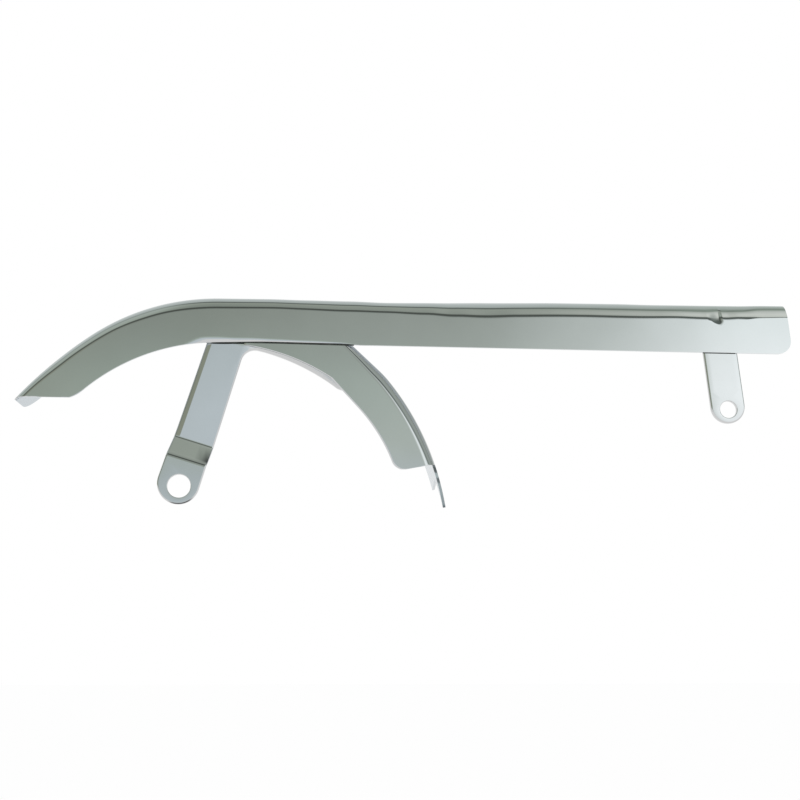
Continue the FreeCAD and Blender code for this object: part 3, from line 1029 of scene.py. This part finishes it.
def leg_axes():
    """Directions up the strap's leg and across it to the right."""
    return tilt(LEG_ANGLE), tilt(LEG_ANGLE + 90)


def leg_half(foot, neck, height):
    """Reach of the leg to one side of its middle line, at a height along it."""
    return foot + (neck - foot) / LEG_FLAT * height


def leg_left(height):
    axis, sideways = leg_axes()
    return axis * height - sideways * leg_half(FOOT_LEFT, NECK_LEFT, height)


def leg_right(height):
    axis, sideways = leg_axes()
    return axis * height + sideways * leg_half(FOOT_RIGHT, NECK_RIGHT, height)


def foot_swell():
    """Height along the leg at which its round foot ends."""
    return (FOOT_LEFT + FOOT_RIGHT) / 2 - FOOT_END


def strap_folds():
    """Folds of the strap, each with its height, depth, slopes before and after it, and reach each way."""
    sunk = BRACKET_Y + (LEG_FOLD - JOGGLE_TOP) * math.tan(math.radians(LEAN_ANGLE))
    slope = math.atan2(sunk, JOGGLE_TOP - JOGGLE_BOTTOM)
    lean = -math.radians(LEAN_ANGLE)
    folds = (
        (JOGGLE_BOTTOM, 0.0, 0.0, slope, JOGGLE_RADIUS + PLATE),
        (JOGGLE_TOP, sunk, slope, lean, JOGGLE_RADIUS),
        (LEG_FOLD, BRACKET_Y, lean, 0.0, LEAN_RADIUS),
    )
    return [(*fold, radius * math.tan(abs(fold[3] - fold[2]) / 2)) for *fold, radius in folds]


def strap_depth(height):
    """Depth and slope of the strap's front at a height along it."""
    for place, level, before, after, reach in strap_folds():
        low = place - reach * math.cos(before)
        high = place + reach * math.cos(after)
        if height < low:
            return level - (place - height) * math.tan(before), before
        if height < high:
            span = high - low
            share = (height - low) / span
            start = level - reach * math.sin(before)
            end = level + reach * math.sin(after)
            rise = 3 * share ** 2 - 2 * share ** 3
            bow = (share - 2 * share ** 2 + share ** 3) * span * math.tan(before)
            bow += (share ** 3 - share ** 2) * span * math.tan(after)
            return mix(start, end, rise) + bow, before + (after - before) * share
    return BRACKET_Y, 0.0


def strap_outline(bm):
    """Flat outline of the strap: round foot, leg, head and arm, with its corners rounded."""
    centre = spot(*ARM_CENTRE)

    def angle_of(vert):
        """Angle of a vertex about the arm's centre."""
        return math.degrees(math.atan2(vert.co.x - centre.x, vert.co.z - centre.z))

    def tangent(vert, radius):
        """Length that a rounding takes of each edge, where the leg meets one of the arm's arcs."""
        return radius * math.tan(math.radians(90 - LEG_ANGLE + angle_of(vert)) / 2)

    rows = [FOOT_ROW]
    for height, _, _, _, reach in strap_folds()[:2]:
        rows += [height + reach * share for share in FOLD_SHARES]
    rows += [*LEG_ROWS, NECK_BASE]
    swell = foot_swell()
    across = lug_end(bm, spot(0, 0), REAR_HOLE_RADIUS, leg_left, leg_right, swell, FOOT_TOP, STRAP_SHARES)
    base = raise_rows(bm, across, leg_left, leg_right, rows, STRAP_SHARES)
    head_height = solve(lambda h: (leg_left(h) - centre).length - ARM_OUTER, 0.0, 2 * LEG_FOLD)
    neck_height = solve(lambda h: (leg_right(h) - centre).length - ARM_RADIUS, 0.0, 2 * LEG_FOLD)
    head = bm.verts.new(leg_left(head_height))
    neck = bm.verts.new(leg_right(neck_height))
    top = chain(bm, centre, ARM_OUTER, angle_of(head) + HEAD_GAP, ARM_ANGLE - TIP_GAP, ARM_STEPS)
    ends = [bm.verts.new(centre + tilt(ARM_ANGLE) * radius) for radius in (ARM_OUTER, ARM_RADIUS)]
    under = chain(bm, centre, ARM_RADIUS, ARM_ANGLE - TAPER_GAP, angle_of(neck) + NECK_GAP, UNDER_STEPS)
    outline = [base[0], head] + top + ends + under + [neck] + base[::-1]
    bmesh.ops.contextual_create(bm, geom=joined(bm, outline))
    round_corner(bm, head, tangent(head, HEAD_CORNER), CORNER_SEGMENTS)
    round_corner(bm, ends[0], ARM_CORNER, CORNER_SEGMENTS)
    round_corner(bm, ends[1], ARM_TAPER, FILLET_SEGMENTS)
    round_corner(bm, neck, tangent(neck, NECK_FILLET), FILLET_SEGMENTS)


def cut_faces(bm, direction, start, extreme, cuts):
    """Cuts by planes the faces whose extreme vertex, min or max, lies past a start in a direction."""
    for normal, point in cuts:
        faces = [face for face in bm.faces if extreme(vert.co.dot(direction) for vert in face.verts) > start]
        parts = faces + list({edge for face in faces for edge in face.edges})
        parts += list({vert for face in faces for vert in face.verts})
        bmesh.ops.bisect_plane(bm, geom=parts, plane_co=point, plane_no=normal)


def paint_strap_marks_and_reflection(bm):
    """Painted dark reflection round the lower rim of the flat strap's foot, and a darker tone right of its
    joggle.
    """
    axis, sideways = leg_axes()
    swell = foot_swell()
    middle = (leg_left(swell) + leg_right(swell)) / 2
    rim = (leg_right(swell) - leg_left(swell)).length / 2
    dark_marks_and_reflection = bm.verts.layers.float.new("dark_marks_and_reflection")
    for vert in bm.verts:
        height = vert.co.dot(axis)
        if height < swell:
            spoke = vert.co - middle
            turn = math.degrees(math.atan2(spoke.x, -spoke.z))
            edge = ease(math.hypot(spoke.x, spoke.z), *(rim - gap for gap in FOOT_REFLECTION_RIM))
            # Painted reflection: the foot's lower rim is made dark as if it mirrored something dark below it
            vert[dark_marks_and_reflection] = along(FOOT_PAINTED_REFLECTION, turn) * edge
        else:
            gap = leg_half(FOOT_RIGHT, NECK_RIGHT, height) - vert.co.dot(sideways)
            # Darker tone right of the joggle, fading in from the strap's edge
            vert[dark_marks_and_reflection] = along(JOGGLE_DARKENING, height) * (1 - ease(gap, *JOGGLE_DARKENING_FADE))


def fold_strap(bm):
    """Bends the flat strap: joggle, leaning leg, turned left edge and leaning arm."""
    axis, sideways = leg_axes()
    edge_slope = math.tan(math.radians(EDGE_TURN_ANGLE))
    arm_slope = math.tan(math.radians(ARM_LEAN_ANGLE))
    for vert in bm.verts:
        height = vert.co.dot(axis)
        reach = vert.co.dot(sideways)
        thick = vert.co.y
        depth, angle = strap_depth(height)
        edge_gap = reach + leg_half(FOOT_LEFT, NECK_LEFT, height)
        depth += max(along(EDGE_TURN, height) - edge_gap, 0.0) * edge_slope
        flat = ease(reach, *ARM_FLAT_RUN) * ease(height, ARM_FLAT_START, NECK_BASE)
        fall = ARM_OUTER - math.hypot(vert.co.x - ARM_CENTRE[0], vert.co.z - ARM_CENTRE[1])
        depth = mix(depth, BRACKET_Y + fall * arm_slope, flat)
        angle *= 1 - flat
        vert.co += spot(0, 0, depth + thick * (math.cos(angle) - 1)) - axis * thick * math.sin(angle)


def build_support_bracket():
    """Strap with a joggled foot and a head that runs out into a short curved arm."""
    axis, sideways = leg_axes()
    bm = bmesh.new()
    strap_outline(bm)
    thicken(bm, STRAP_EDGE, STRAP_EDGE_SEGMENTS, spot(0, 0), REAR_HOLE_RADIUS)
    head_cuts = [(axis, axis * height) for height in HEAD_CUTS]
    head_cuts += [(sideways, sideways * reach) for reach in SIDE_CUTS]
    cut_faces(bm, axis, HEAD_CUT_START, max, head_cuts)
    arm_cuts = [(tilt(angle + 90), spot(*ARM_CENTRE)) for angle in ARM_CUTS]
    cut_faces(bm, sideways, ARM_CUT_START, min, arm_cuts)
    paint_strap_marks_and_reflection(bm)
    fold_strap(bm)
    finish_piece(bm, "support_bracket_plate", plating("chrome_plate"), "support_bracket")


def build_front_tab():
    """Plate lug behind the front end of the face."""
    axis = tilt(-TAB_ANGLE)
    sideways = tilt(90 - TAB_ANGLE)
    hole = spot(*TAB_HOLE)
    half = TAB_WIDTH / 2

    def left(height):
        return hole + axis * height - sideways * half

    def right(height):
        return hole + axis * height + sideways * half

    bm = bmesh.new()
    across = lug_end(bm, hole, TAB_HOLE_RADIUS, left, right, half - TAB_END, TAB_LUG_TOP, TAB_SHARES)
    across = raise_rows(bm, across, left, right, TAB_ROWS, TAB_SHARES)
    for vert in (across[0], across[-1]):
        round_corner(bm, vert, TAB_CORNER, TAB_CORNER_SEGMENTS)
    thicken(bm, TAB_EDGE, TAB_EDGE_SEGMENTS, hole, TAB_HOLE_RADIUS)
    bmesh.ops.translate(bm, vec=spot(0, 0, TAB_Y), verts=bm.verts)
    finish_piece(bm, "front_tab_plate", plating("chrome_plate"), "front_tab")


def add_gap_shade(bm, heights):
    """Painted shade: a dark strip under the lower edge of the face, where the gap is, of the heights given
    along it.
    """
    def place(column, row, side):
        x = mix(heights[0][0], heights[-1][0], column / (SHADE_STRIP_COLUMNS - 1))
        edge = straight_edge(x) + along(EDGE_RISE, x)
        front = mix(SHADE_STRIP_FRONT, SHADE_STRIP_BACK - SHADE_STRIP_LIP, (row / SHADE_STRIP_STEPS) ** 2)
        return spot(x, edge - along(heights, x) * row / SHADE_STRIP_STEPS, mix(front, SHADE_STRIP_BACK, side))

    fold_sheet(bm, SHADE_STRIP_COLUMNS, SHADE_STRIP_STEPS + 1, place, lambda column, row: True)


def build_lap_gap_shade():
    """Painted shade of the lap's gap: a dark line under the guard's lower edge, over the shield and over the
    tab.
    """
    bm = bmesh.new()
    for heights in (LAP_GAP_SHADE, TAB_GAP_SHADE):
        add_gap_shade(bm, heights)
    finish_piece(bm, "lap_gap_painted_shade", gap_shade_steel())


def add_bead(bm, start, end):
    """Rippled weld bead between two points."""
    made = bmesh.ops.create_uvsphere(bm, u_segments=BEAD_AROUND, v_segments=BEAD_ALONG, radius=1.0)
    line = end - start
    turn = line.to_track_quat("Z", "Y")
    ripples = max(round(line.length / (RIPPLE_PITCH * BEAD_RADIUS)), 2)
    for vert in made["verts"]:
        share = 1 - 2 * math.acos(max(-1.0, min(1.0, vert.co.z))) / math.pi
        flat = Vector((vert.co.x, vert.co.y, 0.0))
        ripple = 1 + RIPPLE_HEIGHT * math.cos(math.pi * ripples * share)
        width = BEAD_RADIUS * math.sqrt(max(1 - share ** BEAD_BLUNTNESS, 0.0)) * ripple
        if flat.length > 1e-6:
            flat = flat.normalized() * width
        vert.co = (start + end) / 2 + turn @ (flat + Vector((0, 0, line.length / 2 * share)))


def build_weld_beads():
    """Short fillet welds on the back: the tab and the lap on the guard, the arm on the shield."""
    bm = bmesh.new()
    for (start_x, start_z), (end_x, end_z) in TAB_BEADS:
        add_bead(bm, spot(start_x, start_z, SHEET), spot(end_x, end_z, SHEET))
    level = LOWER_Z + LAP_HEIGHT
    for low, high in LAP_BEADS:
        add_bead(bm, spot(low, level, SHEET), spot(high, level, SHEET))
    centre = spot(*ARM_CENTRE, FLANGE_Y + SHEET)
    for low, high in ARM_BEADS:
        add_bead(bm, centre + tilt(low) * ARM_OUTER, centre + tilt(high) * ARM_OUTER)
    bmesh.ops.recalc_face_normals(bm, faces=bm.faces)
    finish_piece(bm, "weld_beads", plating("chrome_plate"))


def build_camera():
    """Camera at its place, aimed at the middle of the picture."""
    scene = bpy.context.scene
    settings = scene.belt_guard_stage
    camera = bpy.data.cameras.new("camera")
    camera.lens = settings.focal
    camera.sensor_width = FILM_WIDTH
    camera.clip_start = CLIP_START
    holder = bpy.data.objects.new("camera", camera)
    holder.location = settings.camera_place
    aim = Vector(settings.camera_aim) - Vector(settings.camera_place)
    holder.rotation_euler = aim.to_track_quat("-Z", "Y").to_euler()
    scene.collection.objects.link(holder)
    scene.camera = holder


def pale_floor():
    """Pale floor that is nearly as bright as the background where it is seen or mirrored."""
    material, tree, surface = new_material("pale_floor")
    feed(tree, surface["Base Color"], bpy.context.scene.belt_guard_stage.floor_colour)
    feed(tree, surface["Roughness"], FLOOR_ROUGHNESS)
    path = add_node(tree, "LightPath").outputs
    seen = worked_out(tree, "MAXIMUM", path["Is Camera Ray"], path["Is Glossy Ray"])
    clear = worked_out(tree, "MAXIMUM", seen, path["Is Transmission Ray"])
    share = worked_out(tree, "MULTIPLY", clear, FLOOR_GLOW)
    glow = add_node(tree, "Emission", {"Strength": 1.0}).outputs["Emission"]
    plain = tree.nodes["Principled BSDF"].outputs["BSDF"]
    both = add_node(tree, "MixShader", {0: share, 1: plain, 2: glow})
    feed(tree, tree.nodes["Material Output"].inputs["Surface"], both.outputs["Shader"])
    return material


def build_floor():
    """Wide floor under the object."""
    scene = bpy.context.scene
    bm = bmesh.new()
    bmesh.ops.create_grid(bm, x_segments=FLOOR_SEGMENTS, y_segments=FLOOR_SEGMENTS, size=FLOOR_SIZE)
    bmesh.ops.translate(bm, vec=(FLOOR_X, 0.0, scene.belt_guard_stage.floor_z), verts=bm.verts)
    mesh = bpy.data.meshes.new("floor")
    bm.to_mesh(mesh)
    bm.free()
    mesh.materials.append(pale_floor())
    floor = bpy.data.objects.new("floor", mesh)
    scene.collection.objects.link(floor)


def build_room():
    """World: white for the camera and behind the object, and a room of tones that the chrome mirrors."""
    world = bpy.data.worlds.new("room")
    bpy.context.scene.world = world
    world.use_nodes = True
    tree = world.node_tree
    place = add_node(tree, "TexCoord").outputs["Generated"]
    axes = add_node(tree, "SeparateXYZ", {"Vector": place}).outputs
    ahead = worked_out(tree, "MULTIPLY", axes["Y"], -1.0)
    angle = worked_out(tree, "ARCTAN2", axes["Z"], ahead)
    arc = mapped(tree, angle, math.radians(ARC_LOW), math.radians(ARC_HIGH))

    def tones(stops):
        """Colour of one part of the room, by the angle over the front horizon."""
        span = ARC_HIGH - ARC_LOW
        return ramp(tree, arc, [((place_at - ARC_LOW) / span, grey(*tone)) for place_at, *tone in stops])

    reach = mapped(tree, axes["X"], -1.0, 1.0)
    side = ramp(tree, reach, [(0.5 + 0.5 * place_at, grey(share)) for place_at, share in ROOM_SIDES])
    front = blended(tree, side, tones(ROOM_LEFT), tones(ROOM_RIGHT))
    to_right = mapped(tree, axes["X"], *FAR_RIGHT_RUN, smooth=True)
    to_left = mapped(tree, axes["X"], *FAR_LEFT_RUN, smooth=True)
    flanked = blended(tree, to_right, front, tones(ROOM_FAR_RIGHT))
    whole = blended(tree, to_left, flanked, tones(ROOM_FAR_LEFT))

    path = add_node(tree, "LightPath").outputs
    mirrored = worked_out(tree, "MAXIMUM", path["Is Glossy Ray"], path["Is Transmission Ray"])
    share = worked_out(tree, "MULTIPLY", mirrored, mapped(tree, axes["Y"], *BACK_RUN, smooth=True))
    shown = blended(tree, share, (1.0, 1.0, 1.0, 1.0), whole)
    feed(tree, tree.nodes["Background"].inputs["Color"], shown)


class CHROME_settings(bpy.types.PropertyGroup):
    """Finish of the plating."""
    plating: FloatVectorProperty(
        name="Plating", description="Mirror colour of the chrome",
        subtype="COLOR", size=4, min=0.0, max=1.0, default=(0.6, 0.605, 0.608, 1.0),
    )
    # Darker, bluer colour of the inner side: thinner plating, and painted shade of the inside
    inside: FloatVectorProperty(
        name="Inside", description="Mirror colour of the thinner plating inside the folds",
        subtype="COLOR", size=4, min=0.0, max=1.0, default=(0.5, 0.55, 0.58, 1.0),
    )
    # Dark mirror colour: a painted reflection on the foot's lower rim, and darker marks on the ear's edge
    # and beside the joggle
    dark_marks_and_reflection: FloatVectorProperty(
        name="Stain", description="Mirror colour where the plating is tarnished",
        subtype="COLOR", size=4, min=0.0, max=1.0, default=(0.07, 0.075, 0.08, 1.0),
    )
    inside_haze: FloatProperty(
        name="Inside Haze", description="Roughness added inside the folds",
        subtype="FACTOR", min=0.0, max=1.0, default=0.1,
    )
    haze_low: FloatProperty(
        name="Haze Low", description="Roughness of the clearest places",
        subtype="FACTOR", min=0.0, max=1.0, default=0.035,
    )
    haze_high: FloatProperty(
        name="Haze High", description="Roughness of the dullest places",
        subtype="FACTOR", min=0.0, max=1.0, default=0.07,
    )
    wave_height: FloatProperty(
        name="Wave Height", description="Height of the slow waves in the polished sheet",
        unit="LENGTH", precision=6, default=0.00004,
    )
    mark_height: FloatProperty(
        name="Mark Height", description="Depth of the polishing marks",
        unit="LENGTH", precision=7, default=0.0000006,
    )


class DENT_settings(bpy.types.PropertyGroup):
    """Marks in the guard's face."""
    margin_slope: FloatProperty(
        name="Margin Slope", description="Fall of the dressed lower margin over its width",
        subtype="FACTOR", min=0.0, max=1.0, default=0.14,
    )


class STAGE_settings(bpy.types.PropertyGroup):
    """Camera and floor."""
    camera_place: FloatVectorProperty(
        name="Camera", description="Place of the camera",
        subtype="TRANSLATION", unit="LENGTH", default=(0.07222, -0.849, -0.08634),
    )
    camera_aim: FloatVectorProperty(
        name="Aim", description="Point at the middle of the picture",
        subtype="TRANSLATION", unit="LENGTH", default=(0.12827, 0.0, 0.05172),
    )
    focal: FloatProperty(
        name="Focal Length", description="Focal length in millimetres on a 36 mm frame",
        unit="CAMERA", min=10.0, default=65.75,
    )
    floor_z: FloatProperty(name="Floor", description="Height of the floor", unit="LENGTH", default=-0.3)
    floor_colour: FloatVectorProperty(
        name="Floor Colour", description="Colour of the floor",
        subtype="COLOR", size=4, min=0.0, max=1.0, default=(0.96, 0.96, 0.96, 1.0),
    )


class GUARD_OT_stage(bpy.types.Operator):
    """Build the camera, floor and room"""
    bl_idname = "belt_guard.stage"
    bl_label = "Stage"

    def execute(self, context):
        context.scene.view_settings.view_transform = "Standard"
        build_camera()
        build_floor()
        build_room()
        return {"FINISHED"}


class GUARD_OT_channel(bpy.types.Operator):
    """Build the guard's face, bend and top web"""
    bl_idname = "belt_guard.channel"
    bl_label = "Guard Channel"

    def execute(self, context):
        build_guard_channel()
        return {"FINISHED"}


class GUARD_OT_shield(bpy.types.Operator):
    """Build the pulley shield"""
    bl_idname = "belt_guard.shield"
    bl_label = "Pulley Shield"

    def execute(self, context):
        build_pulley_shield()
        return {"FINISHED"}


class GUARD_OT_bracket(bpy.types.Operator):
    """Build the support bracket"""
    bl_idname = "belt_guard.bracket"
    bl_label = "Support Bracket"

    def execute(self, context):
        build_support_bracket()
        return {"FINISHED"}


class GUARD_OT_tab(bpy.types.Operator):
    """Build the front tab"""
    bl_idname = "belt_guard.tab"
    bl_label = "Front Tab"

    def execute(self, context):
        build_front_tab()
        return {"FINISHED"}


class GUARD_OT_joints(bpy.types.Operator):
    """Build the painted shade of the lap's gap and the weld beads"""
    bl_idname = "belt_guard.joints"
    # The dark strip that this step builds is painted shade of the lap's gap
    bl_label = "Lap Seam and Welds"

    def execute(self, context):
        build_lap_gap_shade()
        build_weld_beads()
        return {"FINISHED"}


class GUARD_PT_panel(bpy.types.Panel):
    """Lists the steps that build the stage and the pieces"""
    bl_idname = "GUARD_PT_panel"
    bl_label = "Belt Guard"
    bl_space_type = "VIEW_3D"
    bl_region_type = "UI"
    bl_category = "Belt Guard"

    def draw(self, context):
        for operator in STEPS:
            self.layout.operator(operator.bl_idname)


STEPS = (GUARD_OT_stage, GUARD_OT_channel, GUARD_OT_shield, GUARD_OT_bracket, GUARD_OT_tab, GUARD_OT_joints)
SETTINGS = {
    "belt_guard_chrome": CHROME_settings,
    "belt_guard_dents": DENT_settings,
    "belt_guard_stage": STAGE_settings,
}
CLASSES = (*SETTINGS.values(), *STEPS, GUARD_PT_panel)


def register():
    for kind in CLASSES:
        bpy.utils.register_class(kind)
    for name, kind in SETTINGS.items():
        setattr(bpy.types.Scene, name, PointerProperty(type=kind))


def unregister():
    for name in SETTINGS:
        delattr(bpy.types.Scene, name)
    for kind in reversed(CLASSES):
        bpy.utils.unregister_class(kind)


def main():
    register()
    bpy.ops.belt_guard.stage()
    bpy.ops.belt_guard.channel()
    bpy.ops.belt_guard.shield()
    bpy.ops.belt_guard.bracket()
    bpy.ops.belt_guard.tab()
    bpy.ops.belt_guard.joints()
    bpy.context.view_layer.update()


if __name__ == "__main__":
    main()
